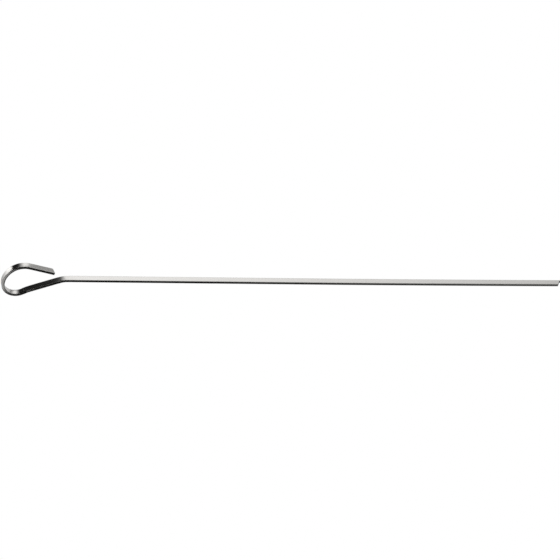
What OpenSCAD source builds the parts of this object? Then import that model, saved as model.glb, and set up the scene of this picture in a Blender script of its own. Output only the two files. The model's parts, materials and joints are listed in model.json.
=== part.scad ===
// A hand tool bent from one length of flat stainless steel strip. The strip's wide face looks up (+Z).
// A long straight shank runs along +X, and at its -X end the strip is turned the easy way, over its
// thickness, into an open teardrop eye. The tail of the eye stops above the shank and leaves a gap.
// The frame's origin is midway along the tool, in the middle of the strip's width, level with the
// lowest point of the eye.

/* [Overall] */
// Length of the whole tool, from the front of the eye to the point of the tip
overall_len = 260; // [180:1:340]

/* [Strip] */
// Width of the flat strip
strip_w = 3.0; // [2:0.1:5]
// Thickness of the flat strip
strip_t = 1.3; // [0.8:0.1:2]
// Size of the break along the strip's four corners
corner_break = 0.2; // [0.1:0.05:0.3]

/* [Eye] */
// Radius of the bend where the shank dips into the eye, at mid thickness
neck_r = 6.1; // [4:0.1:10]
// Angle that the neck dips below the shank
neck_turn = 22; // [15:1:30]
// Length of the straight lower arm of the eye
arm_len = 15.3; // [10:0.1:25]
// Radius of the slight bow at the low end of the arm, at mid thickness
bow_r = 5.2; // [4:0.1:10]
// Angle of the slight bow at the low end of the arm
bow_turn = 16; // [5:1:22]
// Radius of the heel, the tight bend under the eye, at mid thickness
heel_r = 6.3; // [5:0.1:8.5]
// Radius of the nose, the easy bend at the front of the eye, at mid thickness
nose_r = 9.4; // [6:0.1:13]
// Angle that the nose turns from upright back over the eye
nose_turn = 41; // [20:1:50]
// Radius of the brow, the bend over the top of the eye, at mid thickness
brow_r = 8.1; // [6.5:0.1:10]
// Length of the short straight that is left between two bends
land_len = 0.2; // [0.1:0.1:1]
// Length of the straight tail that leads back towards the shank
tail_len = 12; // [6:0.5:14]
// Angle that the tail slopes down towards the shank
tail_drop = 15; // [8:1:18]

/* [Cut ends] */
// Angle of the sheared tip, away from square
tip_cut = 28; // [0:1:40]
// Width of the thin spur that the shear leaves on the tip's long edge
spur_w = 0.65; // [0.4:0.05:1]
// Length of the spur
spur_len = 1.0; // [0.4:0.1:2]
// Angle of the tail's cut end, away from square
tail_cut = 11; // [0:1:20]
// Size of the corner that the cutter takes off the tail's short edge
tail_clip = 0.4; // [0.3:0.1:1]

/* [Hidden] */
$fn = 96;
// headings of the strip as it leaves each bend, above level, seen while going round from the shank
arm_heading = -neck_turn;
bow_heading = arm_heading - bow_turn;
heel_turn = 90 - bow_heading;
brow_turn = 180 + tail_drop - 90 - nose_turn;
// how far the strip runs forward and rises in a bend that turns up, between two headings
function ahead(radius, from, to) = radius * (sin(to) - sin(from));
function rise(radius, from, to) = radius * (cos(from) - cos(to));
// the start of the heel, from the start of the neck, at mid thickness
heel_ahead = ahead(neck_r, arm_heading, 0) + arm_len * cos(arm_heading)
           + ahead(bow_r, bow_heading, arm_heading) + land_len * cos(bow_heading);
heel_rise = rise(neck_r, arm_heading, 0) + arm_len * sin(arm_heading)
          + rise(bow_r, bow_heading, arm_heading) + land_len * sin(bow_heading);
// the outer front and the outer underside of the eye, from the start of the neck
eye_reach = heel_ahead + ahead(heel_r, bow_heading, 90) + strip_t / 2;
eye_drop = -heel_rise - rise(heel_r, bow_heading, 0) + strip_t / 2;
shank_len = overall_len - eye_reach;
// how far a cutter's outline stands clear of the strip that it cuts
over = 2;
// how far a straight laps into the bends beside it, and how much lower its wide faces lie than theirs,
// so that the two meet in one clean step and not in faces that nearly touch
lap = 0.03;
seam = 0.004;

// The strip's section: its thickness along x and its width along y, with broken corners.
module section(thickness) {
    x = thickness / 2;
    y = strip_w / 2;
    b = corner_break;
    polygon([
        [x, y - b], [x - b, y], [b - x, y], [-x, y - b],
        [-x, b - y], [b - x, -y], [x - b, -y], [x, b - y]
    ]);
}

// A straight stretch along +X. What comes next starts at its far end.
module straight(length) {
    translate([-lap, 0, 0])
        rotate([0, 90, 0])
            linear_extrude(length + 2 * lap)
                section(strip_t - 2 * seam);
    translate([length, 0, 0])
        children();
}

// A bend that leaves +X and turns up, or down where turn is negative. What comes next starts at its end.
module bend(radius, turn) {
    side = sign(turn);
    translate([0, 0, side * radius]) {
        rotate([side * 90, 0, 0])
            rotate([0, 0, -90])
                rotate_extrude(angle = abs(turn))
                    translate([radius, 0])
                        section(strip_t);
        rotate([0, -turn, 0])
            translate([0, 0, -side * radius])
                children();
    }
}

// The shank, from the start of the neck to the sheared tip.
module shank() {
    spur_slope = spur_w / spur_len;
    cut_run = (strip_w - spur_w) * tan(tip_cut);
    difference() {
        straight(shank_len + over / 2);
        translate([shank_len, 0, -over])
            linear_extrude(2 * over)
                polygon([
                    [-spur_len - cut_run, -strip_w / 2 - over],
                    [-spur_len - cut_run, -strip_w / 2],
                    [-spur_len, strip_w / 2 - spur_w],
                    [over, strip_w / 2 + over * spur_slope],
                    [over, -strip_w / 2 - over]
                ]);
    }
}

// The tail of the eye, with its end cut a little out of square and one corner clipped.
module tail() {
    back = (strip_w - tail_clip) * tan(tail_cut);
    difference() {
        straight(tail_len);
        translate([tail_len, 0, -over])
            linear_extrude(2 * over)
                polygon([
                    [over * tan(tail_cut), strip_w / 2 + over],
                    [-back, tail_clip - strip_w / 2],
                    [-back - tail_clip, -strip_w / 2],
                    [-back - tail_clip, -strip_w / 2 - over],
                    [over, -strip_w / 2 - over],
                    [over, strip_w / 2 + over]
                ]);
    }
}

// The eye, followed from the start of the neck round to the end of the tail.
module eye() {
    bend(neck_r, -neck_turn)
        straight(arm_len)
            bend(bow_r, -bow_turn)
                straight(land_len)
                    bend(heel_r, heel_turn)
                        straight(land_len)
                            bend(nose_r, nose_turn)
                                straight(land_len)
                                    bend(brow_r, brow_turn)
                                        tail();
}

// The whole tool, one continuous strip.
module strip() {
    color([0.78, 0.77, 0.75])
        translate([eye_reach - overall_len / 2, 0, eye_drop]) {
            shank();
            rotate([0, 0, 180])
                eye();
        }
}

strip();
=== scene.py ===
# %% [markdown]
# # A flat-wire inoculating loop
# The object is one length of bright stainless steel strip. Most of it is a straight shank. At one end the
# strip is bent round into an open teardrop eye, which a hook or a finger goes through, and both ends of the
# strip are sheared off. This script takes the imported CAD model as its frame, builds the strip again with
# the small shapes that bending and shearing leave, gives it a drawn steel finish, and sets it in a small
# studio.

# %% Load the frame
import json
import math

import bmesh
import bpy
from mathutils import Matrix, Vector


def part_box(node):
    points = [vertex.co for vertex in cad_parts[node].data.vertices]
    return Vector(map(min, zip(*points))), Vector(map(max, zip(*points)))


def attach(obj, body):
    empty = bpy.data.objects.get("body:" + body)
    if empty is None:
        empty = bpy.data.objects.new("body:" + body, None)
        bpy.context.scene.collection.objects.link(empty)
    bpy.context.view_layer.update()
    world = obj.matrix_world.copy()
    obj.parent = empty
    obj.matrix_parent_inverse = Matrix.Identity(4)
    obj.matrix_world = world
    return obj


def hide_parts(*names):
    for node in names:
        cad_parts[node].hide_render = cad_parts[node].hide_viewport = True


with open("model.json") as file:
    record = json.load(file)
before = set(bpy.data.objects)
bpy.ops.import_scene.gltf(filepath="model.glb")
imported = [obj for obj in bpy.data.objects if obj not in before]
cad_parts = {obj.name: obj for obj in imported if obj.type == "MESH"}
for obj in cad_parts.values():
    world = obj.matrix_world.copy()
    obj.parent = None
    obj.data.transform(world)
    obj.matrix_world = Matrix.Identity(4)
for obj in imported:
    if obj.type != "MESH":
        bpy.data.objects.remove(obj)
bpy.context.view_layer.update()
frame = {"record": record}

# %% [markdown]
# ## The sizes
# Everything is in metres. The frame already knows the overall length, the strip's width, the height of the
# shank, and where the eye's tightest bend has its centre and how far its inside lies from it, so these are
# read from it. The thickness of the strip is given here. The other bends are a wire bender's own settings:
# how far to feed the strip, on what radius to turn it, and by how much.

# %% Sizes from the frame, and the bender's settings
MM = 0.001
mounts = {m["name"]: m for m in frame["record"]["mounts"]}
LOW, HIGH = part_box("strip")
STRIP_T = 1.3 * MM
HEEL_CENTRE = Vector(mounts["eye_seat"]["pos_m"])
HEEL_R = mounts["eye_seat"]["dims"]["r_mm"] * MM + STRIP_T / 2
SHANK_Z = mounts["side_rest"]["pos_m"][2]

NECK_R, NECK_TURN = 6.1 * MM, math.radians(22)
ARM_LEN = 15.3 * MM
BOW_R, BOW_TURN = 5.2 * MM, math.radians(16)
LAND_LEN = 0.2 * MM
NOSE_R, NOSE_TURN = 9.4 * MM, math.radians(41)
BROW_R = 8.1 * MM
TAIL_LEN, TAIL_DROP = 12.0 * MM, math.radians(15)
HEEL_TURN = math.radians(90) + NECK_TURN + BOW_TURN
BROW_TURN = math.radians(90) + TAIL_DROP - NOSE_TURN
print("heel radius %.2f mm, shank %.2f mm above the base" % (HEEL_R / MM, SHANK_Z / MM))

# %% [markdown]
# The bender's programme is a list of stretches, followed from the neck: the length of a straight or the
# radius of a bend, at mid thickness, and by how much it turns the strip. A turn that lifts the strip is
# positive. The shank comes first, and its length is what is left of the overall length. Where the neck
# starts follows from the heel's centre, by walking the stretches between them.

# %% The bender's programme
EYE = [
    ("neck", NECK_R, -NECK_TURN), ("arm", ARM_LEN, 0), ("bow", BOW_R, -BOW_TURN), ("land", LAND_LEN, 0),
    ("heel", HEEL_R, HEEL_TURN), ("land", LAND_LEN, 0), ("nose", NOSE_R, NOSE_TURN),
    ("land", LAND_LEN, 0), ("brow", BROW_R, BROW_TURN), ("tail", TAIL_LEN, 0),
]


def walk(place, heading, size, turn, share=1.0):
    """Where a share of a stretch leads. Heading 0 points along -X and grows as the strip lifts to +Z."""
    if not turn:
        run = size * share
        return place + run * Vector((-math.cos(heading), 0, math.sin(heading))), heading
    side = math.copysign(size, turn)
    centre = place + side * Vector((math.sin(heading), 0, math.cos(heading)))
    heading = heading + turn * share
    return centre - side * Vector((math.sin(heading), 0, math.cos(heading))), heading


place, heading = Vector((0, 0, SHANK_Z)), 0.0
for name, size, turn in EYE[:4]:
    place, heading = walk(place, heading, size, turn)
NECK_X = HEEL_CENTRE.x - (place.x + HEEL_R * math.sin(heading))
SHANK_LEN = HIGH.x - NECK_X
SHANK = ("shank", SHANK_LEN, 0)
print("the neck starts at x = %.2f mm and the shank is %.2f mm long" % (NECK_X / MM, SHANK_LEN / MM))


def length_of(stretch):
    """The length of a stretch along the middle of the strip."""
    return stretch[1] * abs(stretch[2]) if stretch[2] else stretch[1]


TOTAL = SHANK_LEN + sum(length_of(s) for s in EYE)
print("the strip was %.1f mm long before it was bent" % (TOTAL / MM))

# %% [markdown]
# ## The straight blank
# Flat wire is rolled from round wire, so its corners are rounded and its two narrow sides are a little
# crowned. Its section could be typed in as points, but a rectangle with bevelled corners says the same in
# words. The section is drawn out along X, as the mill draws it, and cut into slices where it will be bent.
# A blank that is bent afterwards keeps one simple coordinate along its length, and the draw lines of the
# finish need just that.

# %% The section, drawn out and sliced
WIDTH = (HIGH.y - LOW.y) - 0.03 * MM
CORNER_R = 0.13 * MM
CROWN = 0.02 * MM
ACROSS_CUTS, SIDE_CUTS, CORNER_STEPS = 15, 5, 5
END_SLICES = [0.25 * MM, 0.5 * MM, 1.0 * MM]
LONGEST_SLICE, TURN_PER_SLICE = 2 * MM, math.radians(1.5)


def section_of(bm):
    """The closed ring of edges that the strip is drawn from: its thickness along z and its width along y."""
    grid = bmesh.ops.create_grid(bm, x_segments=1, y_segments=1, size=0.5)
    bmesh.ops.scale(bm, vec=(STRIP_T, WIDTH - 2 * CROWN, 1), verts=grid["verts"])
    bmesh.ops.bevel(bm, geom=list(bm.verts), offset=CORNER_R, affect="VERTICES", segments=CORNER_STEPS,
                    profile=0.5, material=-1)
    bmesh.ops.delete(bm, geom=list(bm.faces), context="FACES_ONLY")
    for axis, cuts in ((1, ACROSS_CUTS), (0, SIDE_CUTS)):
        long_edges = [e for e in bm.edges if abs(e.verts[0].co[axis] - e.verts[1].co[axis]) > 1.5 * CORNER_R]
        bmesh.ops.subdivide_edges(bm, edges=long_edges, cuts=cuts)
    for v in bm.verts:
        if abs(v.co.y) > WIDTH / 2 - CROWN - CORNER_R:
            v.co.y += math.copysign(CROWN * (1 - (2 * v.co.x / STRIP_T) ** 2), v.co.y)
    bmesh.ops.rotate(bm, verts=list(bm.verts), matrix=Matrix.Rotation(math.radians(90), 3, "Y"))
    return list(bm.edges)


def slices():
    """How far from the tip each slice of the blank lies: close together in the bends and near both ends."""
    cuts, at = list(END_SLICES), 0.0
    for stretch in [SHANK] + EYE:
        length = length_of(stretch)
        steps = max(1, round(max(abs(stretch[2]) / TURN_PER_SLICE, length / LONGEST_SLICE)))
        cuts += [at + length * (k + 1) / steps for k in range(steps)]
        at += length
    return sorted(cuts + [TOTAL - d for d in END_SLICES])


def put_in_order(bm):
    """Sorts the vertices, edges and faces by where they are, so that every run makes the same mesh."""
    slant = Vector((1.0, 0.137, 0.0271))
    bm.verts.sort(key=lambda v: v.co.dot(slant))
    bm.edges.sort(key=lambda e: (e.verts[0].co + e.verts[1].co).dot(slant))
    bm.faces.sort(key=lambda f: f.calc_center_median().dot(slant))
    for parts in (bm.verts, bm.edges, bm.faces):
        parts.index_update()


blank = bmesh.new()
ring = section_of(blank)
bmesh.ops.translate(blank, verts=list(blank.verts), vec=(HIGH.x, 0, 0))
last_cut = 0.0
for cut in slices():
    drawn = bmesh.ops.extrude_edge_only(blank, edges=ring)["geom"]
    new_verts = [g for g in drawn if isinstance(g, bmesh.types.BMVert)]
    bmesh.ops.translate(blank, verts=new_verts, vec=(last_cut - cut, 0, 0))
    ring = [g for g in drawn if isinstance(g, bmesh.types.BMEdge)
            and abs(g.verts[0].co.x - g.verts[1].co.x) < 0.001 * MM]
    last_cut = cut
put_in_order(blank)
print("the blank has", len(blank.verts), "vertices in", len(slices()) + 1, "rings")

# %% [markdown]
# ## The two sheared ends
# A cutter leaves each end with three things. The cut runs at a slant. The edge that the blade meets first is
# rolled over. The far side of the cut is rougher and leans out a little, where the steel tore. The ends are
# closed flat, their rims are rounded, and then the end of the blank is pushed to the cutter's outline, which
# is a function of the place across the strip. The push fades out along the strip, so no slice crosses
# another. At the tip the shear leaves a thin spur on one edge.

# %% Close the ends and push them to the cutters' outlines
TIP_CUT, SPUR_W, SPUR_LEN = math.radians(28), 0.65 * MM, 1.0 * MM
TAIL_CUT, TAIL_CLIP = math.radians(11), 0.4 * MM
CLIP_SLOPE = 0.9
ROLL_OVER, ROLL_DEPTH = 0.09 * MM, 0.22
LEAN, TORN_DEPTH = 0.03 * MM, 0.55
RIM = 0.05 * MM
FADE, TEAR_FADE = 14 * MM, 0.25 * MM
CAP_CELLS = ((1, WIDTH / 2, 23), (2, STRIP_T / 2, 9))
FLAT, SAME_PLACE = 0.002 * MM, 0.004 * MM


def outline(end, y):
    """How far the cut lies back from the very end of the blank, at the place y across the strip."""
    if end == "tip":
        spur_line = (WIDTH / 2 - y) * SPUR_LEN / SPUR_W
        shear_line = SPUR_LEN + (WIDTH / 2 - SPUR_W - y) * math.tan(TIP_CUT)
        return min(spur_line, shear_line) if y > WIDTH / 2 - SPUR_W else shear_line
    clip = max(0.0, y - (WIDTH / 2 - TAIL_CLIP))
    return (y + WIDTH / 2) * math.tan(TAIL_CUT) + clip * CLIP_SLOPE


def tear(z, blade_side):
    """How far the cut face stands back at the height z. The blade rolls its near edge over, and the steel
    tears towards the far one, so the face leans."""
    depth = 0.5 - blade_side * z / STRIP_T
    rolled = ROLL_OVER * max(0.0, 1 - depth / ROLL_DEPTH) ** 2
    leaning = LEAN * min(1.0, (1 - depth) / TORN_DEPTH)
    return rolled + leaning


for end, end_x, blade_side in (("tip", HIGH.x, 1), ("tail", HIGH.x - TOTAL, -1)):
    rim = [e for e in blank.edges if e.is_boundary and abs(e.verts[0].co.x - end_x) < 0.01 * MM]
    bmesh.ops.edgeloop_fill(blank, edges=rim)
    bmesh.ops.bevel(blank, geom=rim, offset=RIM, affect="EDGES", segments=3, profile=0.5, material=-1,
                    clamp_overlap=True)
    for axis, half, count in CAP_CELLS:
        normal = Vector((0, axis == 1, axis == 2))
        for k in range(1, count):
            faces = [f for f in blank.faces if abs(f.calc_center_median().x - end_x) < FLAT]
            around = faces + [e for f in faces for e in f.edges] + [v for f in faces for v in f.verts]
            bmesh.ops.bisect_plane(blank, geom=list(dict.fromkeys(around)), dist=SAME_PLACE,
                                   plane_co=normal * half * (2 * k / count - 1), plane_no=normal)
    inward = -1 if end == "tip" else 1
    for v in blank.verts:
        away = abs(v.co.x - end_x)
        if away < FADE:
            push = outline(end, v.co.y) * (1 - away / FADE)
            push += tear(v.co.z, blade_side) * max(0.0, 1 - away / TEAR_FADE)
            v.co.x += inward * push
    print("the", end, "end now has", sum(1 for v in blank.verts if abs(v.co.x - end_x) < 4 * MM), "vertices")

# %% [markdown]
# The mill's draw lines run along the blank and bend with it, and the wide faces stay smooth. So each vertex
# keeps the place it had in the straight blank as an attribute, which the finish reads later. Two more
# attributes say how hard the steel is strained there, and whether it lies on a cut.

# %% Note where each vertex was in the straight blank
put_in_order(blank)
blank.normal_update()
drawn_place = [v.co.copy() for v in blank.verts]
cut_faces = [f for f in blank.faces if abs(f.normal.x) > 0.6]
torn = {v for f in cut_faces for v in f.verts}
on_cut = [1.0 if v in torn else 0.0 for v in blank.verts]
print(len(cut_faces), "faces lie on the two cuts")

# %% [markdown]
# ## The path
# A bender's pin never leaves a perfect arc between two perfect straights: the strip eases into each bend.
# So the heading along the path is the programme's heading averaged over a short window, and the path is
# that heading followed in small steps. The neck was bent freely and eases further than the bends of the
# eye. The last part of the shank also has a slight set upwards, of less than half a degree, from being
# sheared.

# %% The eased path
STEP = 0.05 * MM
NECK_EASE, EYE_EASE = 1.7 * MM, 0.6 * MM
SET, SET_LEN = math.radians(0.41), 110 * MM
BEFORE_NECK = 3 * MM


def programmed(run):
    """The programme's heading at a distance from the tip."""
    heading = 0.0
    for stretch in [SHANK] + EYE:
        length = length_of(stretch)
        if run <= length:
            return heading + stretch[2] * max(0.0, run) / length
        heading += stretch[2]
        run -= length
    return heading


count = math.ceil(TOTAL / STEP)
summed = [0.0]
for k in range(count + 1):
    summed.append(summed[-1] + programmed(k * STEP))


def averaged(k, reach):
    """The programme's heading averaged over a reach to each side of sample k."""
    low, high = max(0, k - reach), min(count, k + reach)
    return (summed[high + 1] - summed[low]) / (high + 1 - low)


headings, spine = [], [Vector((0, 0, 0))]
for k in range(count + 1):
    reach = NECK_EASE if k * STEP < SHANK_LEN + 0.5 * ARM_LEN else EYE_EASE
    lift = SET * max(0.0, 1 - k * STEP / SET_LEN) ** 0.5
    headings.append(averaged(k, round(reach / STEP)) - lift)
    spine.append(spine[-1] + STEP * Vector((-math.cos(headings[-1]), 0, math.sin(headings[-1]))))
neck_at = round(SHANK_LEN / STEP)
still_straight = spine[neck_at - round(BEFORE_NECK / STEP)]
spine_shift = Vector((NECK_X, 0, SHANK_Z)) - Vector((spine[neck_at].x, 0, still_straight.z))
spine = [place + spine_shift for place in spine]
print("the path has", len(spine), "steps, and the tip's middle is at z = %.2f mm" % (spine[0].z / MM))

# %% [markdown]
# ## Bending it
# A strip that is bent over its thickness does more than turn. Its inner face is squeezed and swells
# sideways, and its outer face is stretched and draws in, so its narrow sides lean. Its middle rises a
# little towards the inside, so its wide faces are very slightly saddle-shaped. Both grow with the thickness
# over the radius. They are what breaks up the mirror images in the bends of a real one.

# %% Lay the blank on the path
SWELL, DRAW_IN = 0.50, 0.43
SADDLE, SADDLE_AT = 0.05 * MM, 0.095
FULLY_WORKED = 0.1
BEND_WINDOW = round(1.1 * MM / STEP)


def formed(co):
    """The place of a blank's point after bending, and the strain of the steel there from 0 to 1."""
    steps = min(max(0.0, (HIGH.x - co.x) / STEP), count - 1.001)
    k = math.floor(steps)
    place = spine[k].lerp(spine[k + 1], steps - k)
    heading = headings[k] + (headings[k + 1] - headings[k]) * (steps - k)
    normal = Vector((math.sin(heading), 0, math.cos(heading)))
    after, before = min(count, k + BEND_WINDOW), max(0, k - BEND_WINDOW)
    bent = (headings[after] - headings[before]) / ((after - before) * STEP) * STRIP_T / 2
    side = co.y / (WIDTH / 2)
    inside = co.z / (STRIP_T / 2)
    y = co.y * (1 + SWELL * bent * inside - DRAW_IN * abs(bent))
    height = co.z + SADDLE * (bent / SADDLE_AT) * (1 - side * side)
    return place + height * normal + Vector((0, y, 0)), min(1.0, abs(bent) / FULLY_WORKED)


strain = []
for v in blank.verts:
    v.co, worked = formed(v.co)
    strain.append(worked)
bmesh.ops.recalc_face_normals(blank, faces=list(blank.faces))
print("bent: the steel is strained by up to %.0f %%" % (100 * 0.5 * STRIP_T / HEEL_R))

# %% Make the object
mesh = bpy.data.meshes.new("steel_strip")
blank.to_mesh(mesh)
blank.free()
place_attribute = mesh.attributes.new("blank_place", "FLOAT_VECTOR", "POINT")
place_attribute.data.foreach_set("vector", [c for co in drawn_place for c in co])
for title, values in (("strain", strain), ("on_cut", on_cut)):
    mesh.attributes.new(title, "FLOAT", "POINT").data.foreach_set("value", values)
mesh.polygons.foreach_set("use_smooth", [True] * len(mesh.polygons))
strip = bpy.data.objects.new("steel_strip", mesh)
bpy.context.scene.collection.objects.link(strip)
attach(strip, "root")
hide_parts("strip")
print("steel_strip has", len(mesh.polygons), "faces")

# %% [markdown]
# ## The finish
# Shader nodes are easiest to read as sums. A small class holds one output of a node and lets it be added,
# subtracted and multiplied, and one function makes a node from its type, its settings and its inputs.

# %% A node maker and a value that can be reckoned with


class Value:
    """One output of a shader node, which adds and multiplies like a number."""

    def __init__(self, tree, socket):
        self.tree = tree
        self.socket = socket

    def maths(self, operation, first, second):
        made = node(self.tree, "ShaderNodeMath", {"operation": operation}, {0: first, 1: second})
        return Value(self.tree, made.outputs[0])

    def __add__(self, other):
        return self.maths("ADD", self, other)

    def __sub__(self, other):
        return self.maths("SUBTRACT", self, other)

    def __mul__(self, other):
        return self.maths("MULTIPLY", self, other)

    def __rsub__(self, other):
        return self.maths("SUBTRACT", other, self)

    __radd__ = __add__
    __rmul__ = __mul__


def node(tree, kind, settings=None, inputs=None):
    """A new node, with its settings made first and then its inputs set or joined."""
    made = tree.nodes.new(kind)
    for name, value in (settings or {}).items():
        setattr(made, name, value)
    for name, value in (inputs or {}).items():
        if isinstance(value, Value):
            tree.links.new(value.socket, made.inputs[name])
        else:
            made.inputs[name].default_value = value
    return made


def attribute(tree, name, output):
    """An attribute of the mesh as a value."""
    return Value(tree, node(tree, "ShaderNodeAttribute", {"attribute_name": name}).outputs[output])


def lines(tree, place, along, across, detail=2.0):
    """Noise drawn out along the blank: its grain is 1 / along metres long and 1 / across metres wide."""
    drawn = node(tree, "ShaderNodeVectorMath", {"operation": "MULTIPLY"},
                 {0: place, 1: (along, across, across)})
    grain = node(tree, "ShaderNodeTexNoise", {},
                 {"Vector": Value(tree, drawn.outputs[0]), "Scale": 1.0, "Detail": detail,
                  "Roughness": 0.55})
    return Value(tree, grain.outputs[0])


# %% [markdown]
# The steel is bright drawn stainless. A wire die polishes it but leaves fine lines along its length, and
# the lines spread a reflection across the strip far more than along it. Real relief does this better than
# one roughness number, so the lines are a bump that reads the place in the straight blank: fine ones about
# a tenth of a millimetre wide, and broader ones that make the long faint streaks. Where the steel was
# strained in a bend its surface goes slightly dull, and the cut faces are matt and a little darker.

# %% Bright drawn steel
RELIEF = 0.0025 * MM
BRIGHT_TONE, DULL_TONE = (0.665, 0.655, 0.635, 1), (0.60, 0.585, 0.565, 1)
steel = bpy.data.materials.new("bright_steel")
steel.use_nodes = True
tree = steel.node_tree
tree.nodes.clear()
place = attribute(tree, "blank_place", "Vector")
worked = attribute(tree, "strain", "Fac")
cut = attribute(tree, "on_cut", "Fac")
fine = lines(tree, place, 50, 8000)
broad = lines(tree, place, 12, 1900)
patches = lines(tree, place, 90, 420, 3.0)
pits = lines(tree, place, 9000, 9000, 3.0)

relief = fine * 0.55 + broad * 1.0 + pits * (cut * 9.0 + worked * 0.12)
bumped = node(tree, "ShaderNodeBump", {}, {"Height": relief, "Strength": 1.0, "Distance": RELIEF})
rough = 0.085 + 0.05 * fine + 0.05 * patches + 0.03 * worked + 0.22 * cut
steel_tone = node(tree, "ShaderNodeMix", {"data_type": "RGBA"},
                  {0: patches * 0.5 + cut * 0.5, "A": BRIGHT_TONE, "B": DULL_TONE})
shader = node(tree, "ShaderNodeBsdfPrincipled", {}, {
    "Base Color": Value(tree, steel_tone.outputs["Result"]), "Metallic": 1.0, "Roughness": rough,
    "Normal": Value(tree, bumped.outputs[0])})
node(tree, "ShaderNodeOutputMaterial", {}, {"Surface": Value(tree, shader.outputs[0])})
mesh.materials.append(steel)
print("the finish has", len(tree.nodes), "nodes")

# %% [markdown]
# ## The studio
# Polished metal shows the room and nothing else, so the studio is a set of cards that only the steel can
# see. A soft light stands behind and above and is what the upturned faces mirror, with a dimmer card below
# it for the tail. To its left the room is dark, which is what the eye's lower arm mirrors. A white card
# stands low at the left and is mirrored by the front of the eye, with a dimmer one under it, and one low at
# the right fills the inside of the eye. In front a large soft light hangs high for the rounded edges, with
# a middle one under it and two faint cards below for the narrow side. The rest are for whoever walks round
# the tool: two more at the back, one high at the left, one overhead and one at each side. Each card's
# brightness runs through a few levels across it or up it.

# %% How a piece of the stage is made


def glowing(name, bm, colour_of):
    """A piece of the stage from a bmesh. It glows in the colour that colour_of works out in its shader."""
    data = bpy.data.meshes.new(name)
    bm.to_mesh(data)
    bm.free()
    made = bpy.data.objects.new(name, data)
    bpy.context.scene.collection.objects.link(made)
    glow = bpy.data.materials.new(name)
    glow.use_nodes = True
    tree = glow.node_tree
    tree.nodes.clear()
    emission = node(tree, "ShaderNodeEmission", {}, {"Color": colour_of(tree), "Strength": 1.0})
    node(tree, "ShaderNodeOutputMaterial", {}, {"Surface": Value(tree, emission.outputs[0])})
    data.materials.append(glow)
    made.visible_shadow = False
    return made


def grey(level):
    """A grey of the given brightness."""
    return (level, level, level, 1)


# %% How a card is made


def card(name, faces, across, up, at, levels, along=0):
    """A glowing card that only reflections see. It faces along Y, X or Z, where it stands at a distance.
    Levels are (how far along from 0 to 1, brightness), from low to high across the card or up it."""
    first, second, third = {"Y": (0, 2, 1), "X": (1, 2, 0), "Z": (0, 1, 2)}[faces]
    bm = bmesh.new()
    bmesh.ops.create_grid(bm, x_segments=1, y_segments=1, size=0.5)
    for v in bm.verts:
        corner = Vector((0, 0, 0))
        corner[first] = across[0] if v.co.x < 0 else across[1]
        corner[second] = up[0] if v.co.y < 0 else up[1]
        corner[third] = at
        v.co = corner

    def colour_of(tree):
        where = Value(tree, node(tree, "ShaderNodeTexCoord").outputs["Object"])
        split = node(tree, "ShaderNodeSeparateXYZ", {}, {0: where})
        low, high = (across, up)[along]
        share = (Value(tree, split.outputs[(first, second)[along]]) - low) * (1 / (high - low))
        ramp = node(tree, "ShaderNodeValToRGB", {}, {0: share})
        stops = ramp.color_ramp.elements
        for stop, (far, level) in zip(stops, (levels[0], levels[-1])):
            stop.position = far
            stop.color = grey(level)
        for far, level in levels[1:-1]:
            stops.new(far).color = grey(level)
        return Value(tree, ramp.outputs[0])

    made = glowing(name, bm, colour_of)
    made.visible_camera = False
    return made


# %% Cards
BACK, FRONT, FAR_FRONT = 0.75, -0.75, -0.95
EVEN = [(0, 0.6), (1, 0.6)]
UPWARDS = 1
cards = [
    card("back_light", "Y", (-0.40, 0.80), (0.50, 0.95), BACK,
         [(0, 0.01), (0.05, 0.05), (0.12, 0.24), (0.22, 0.65), (0.34, 1.22), (0.45, 1.26), (0.58, 1.07),
          (0.73, 0.77), (1, 0.4)]),
    card("tail_fill", "Y", (0.10, 0.80), (0.30, 0.497), BACK, [(0, 0.40), (1, 0.34)]),
    card("left_white", "Y", (-1.50, -0.68), (-0.50, 0.385), BACK,
         [(0, 0.6), (0.35, 0.95), (0.6, 1.5), (1, 1.8)], UPWARDS),
    card("left_middle", "Y", (-0.677, -0.15), (-0.50, -0.05), BACK,
         [(0, 0.6), (0.5, 0.85), (1, 1.2)], UPWARDS),
    card("left_grey", "Y", (-1.10, 0.0), (-0.95, -0.503), BACK, [(0, 0.55), (1, 0.55)]),
    card("right_low", "Y", (0.10, 1.10), (-0.75, 0.26), BACK, [(0, 0.7), (0.6, 0.7), (1, 0.1)]),
    card("back_middle", "Y", (-0.42, 0.09), (-0.28, 0.33), BACK, EVEN),
    card("back_right", "Y", (0.90, 1.90), (0.05, 0.95), BACK, EVEN),
    card("left_high", "Y", (-1.90, -1.05), (0.42, 0.95), BACK, EVEN),
    card("front_left_low", "Y", (-0.90, -0.02), (-0.86, -0.40), FRONT, [(0, 0.6), (0.9, 0.55), (1, 0.35)]),
    card("front_right_low", "Y", (0.20, 1.10), (-0.80, -0.30), FRONT,
         [(0, 0.01), (0.11, 0.05), (0.3, 0.10), (1, 0.2)]),
    card("front_middle", "Y", (0.00, 1.40), (0.10, 0.60), FAR_FRONT, [(0, 0.5), (1, 0.5)]),
    card("front_top", "Y", (-0.15, 1.60), (0.62, 1.60), FAR_FRONT, [(0, 1.2), (0.4, 1.25), (1, 1.1)]),
    card("overhead", "Z", (-0.90, 0.90), (-0.60, 0.40), 1.60, [(0, 0.8), (1, 0.8)]),
    card("left_side", "X", (-0.60, 0.60), (0.10, 1.10), -1.60, [(0, 0.7), (1, 0.7)]),
    card("right_side", "X", (-0.60, 0.60), (0.10, 1.10), 1.60, [(0, 0.7), (1, 0.7)]),
]
print(len(cards), "cards")

# %% [markdown]
# The floor is plain and pale, and the backdrop round it is the same white. Neither is mirrored in the
# steel. Both glow at exactly the brightness of paper white. A brighter floor would make the thin dark sides
# of the strip look thinner than they are.

# %% Floor, backdrop and the dark of the room


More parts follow.
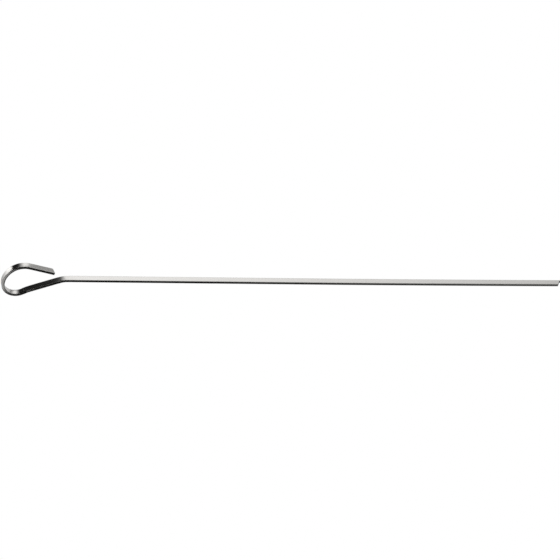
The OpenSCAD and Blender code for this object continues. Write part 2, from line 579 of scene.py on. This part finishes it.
def white_stage(name, build):
    """A stage piece that the camera sees as plain white and the steel doesn't mirror."""
    bm = bmesh.new()
    build(bm)
    made = glowing(name, bm, lambda tree: grey(1))
    made.visible_glossy = False
    return made


ROOM_DARK = 0.012
FLOOR_HALF, BACKDROP_R = 5.5, 6
BELOW_TOOL = 0.05 * MM
floor = white_stage("floor", lambda bm: bmesh.ops.create_grid(
    bm, x_segments=1, y_segments=1, size=FLOOR_HALF))
floor.location.z = LOW.z - BELOW_TOOL
white_stage("backdrop", lambda bm: bmesh.ops.create_icosphere(bm, subdivisions=4, radius=BACKDROP_R))
room = bpy.data.worlds.new("room")
room.use_nodes = True
room.node_tree.nodes["Background"].inputs["Color"].default_value = grey(ROOM_DARK)
bpy.context.scene.world = room
bpy.context.scene.view_settings.view_transform = "Standard"
print("the floor lies at z = %.3f mm and the room's dark is %.3f" % (floor.location.z / MM, ROOM_DARK))

# %% [markdown]
# ## The camera
# The tool is seen from above and in front, from the side of its eye, with a long lens from under two
# metres. The camera is rolled, so that the shank lies nearly level in the frame. It is aimed by where the
# neck's front edge comes in the frame.

# %% Camera
TILT, TURN, ROLL = math.radians(38.0), math.radians(20.0), math.radians(13.235)
DISTANCE = 1.716
LENS, SENSOR = 250.7, 36.0
ASIDE, UP = -0.0939, -0.00050
ahead = Vector((math.sin(TURN) * math.cos(TILT), math.cos(TURN) * math.cos(TILT), -math.sin(TILT)))
level = Vector((math.cos(TURN), -math.sin(TURN), 0))
rise = level.cross(ahead)
right_hand = math.cos(ROLL) * level + math.sin(ROLL) * rise
upward = right_hand.cross(ahead)
neck_edge = Vector((NECK_X, LOW.y, SHANK_Z))
camera_data = bpy.data.cameras.new("camera")
camera_data.lens = LENS
camera_data.sensor_width = SENSOR
camera_data.clip_start = 0.1
camera_data.clip_end = 30
camera = bpy.data.objects.new("camera", camera_data)
bpy.context.scene.collection.objects.link(camera)
turned = Matrix((right_hand, upward, -ahead)).transposed().to_4x4()
spot = neck_edge - ASIDE * right_hand - UP * upward - DISTANCE * ahead
camera.matrix_world = Matrix.Translation(spot) @ turned
bpy.context.scene.camera = camera
print("the camera stands at", tuple(round(c, 3) for c in spot))

# %% [markdown]
# ## Done
# The visual model has to fill the same box as the CAD model.

# %% Finish
bpy.context.view_layer.update()
